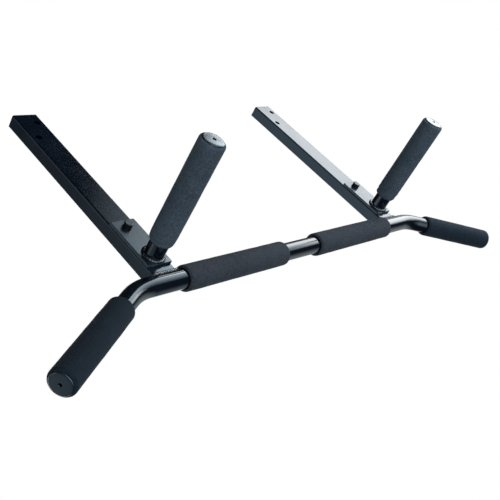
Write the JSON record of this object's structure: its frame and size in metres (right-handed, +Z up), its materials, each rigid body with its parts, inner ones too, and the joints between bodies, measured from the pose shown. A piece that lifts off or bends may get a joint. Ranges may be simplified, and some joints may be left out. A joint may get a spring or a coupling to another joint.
{
  "type": "pull up bar",
  "caption": "Beam-mounted pull up bar: steel bar with bent ends hung from flat arms, with forward handles and foam grips.",
  "frame": {"origin": "midway between the two upper screw holes, in the plane of the arms' back faces, which lie against the beam", "axes": "+X along the bar, +Y from the arms into the beam, +Z up along the arms; the handles point along -Y, towards the user; the bar's middle is at x = -11 mm"},
  "size_m": [1.2394, 0.2547, 0.5445],
  "materials": {
    "bar_paint": "gloss",
    "handle_paint": "gloss",
    "arm_paint": "satin",
    "plate_paint": "satin",
    "weld_paint": "gloss",
    "grip_foam": "matt",
    "cap_plastic": "semi-gloss",
    "plug_plastic": "matt",
    "bolt_black": "satin",
    "nut_steel": "zinc plated"
  },
  "bodies": {
    "root": {"main_bar": "bar_paint", "left_arm": "arm_paint", "right_arm": "arm_paint", "left_arm_plug": "plug_plastic", "right_arm_plug": "plug_plastic", "left_arm_weld": "weld_paint", "right_arm_weld": "weld_paint", "left_handle_plate": "plate_paint", "right_handle_plate": "plate_paint", "left_handle_tube": "handle_paint", "right_handle_tube": "handle_paint", "left_handle_weld": "weld_paint", "right_handle_weld": "weld_paint", "left_center_grip": "grip_foam", "right_center_grip": "grip_foam", "left_end_grip": "grip_foam", "right_end_grip": "grip_foam", "left_handle_grip": "grip_foam", "right_handle_grip": "grip_foam", "left_bar_cap": "cap_plastic", "right_bar_cap": "cap_plastic", "left_handle_cap": "cap_plastic", "right_handle_cap": "cap_plastic", "plate_bolts": "bolt_black", "plate_bolt_washers": "bolt_black", "spring_washers": "bolt_black", "weld_nuts": "nut_steel"}
  },
  "joints": []
}
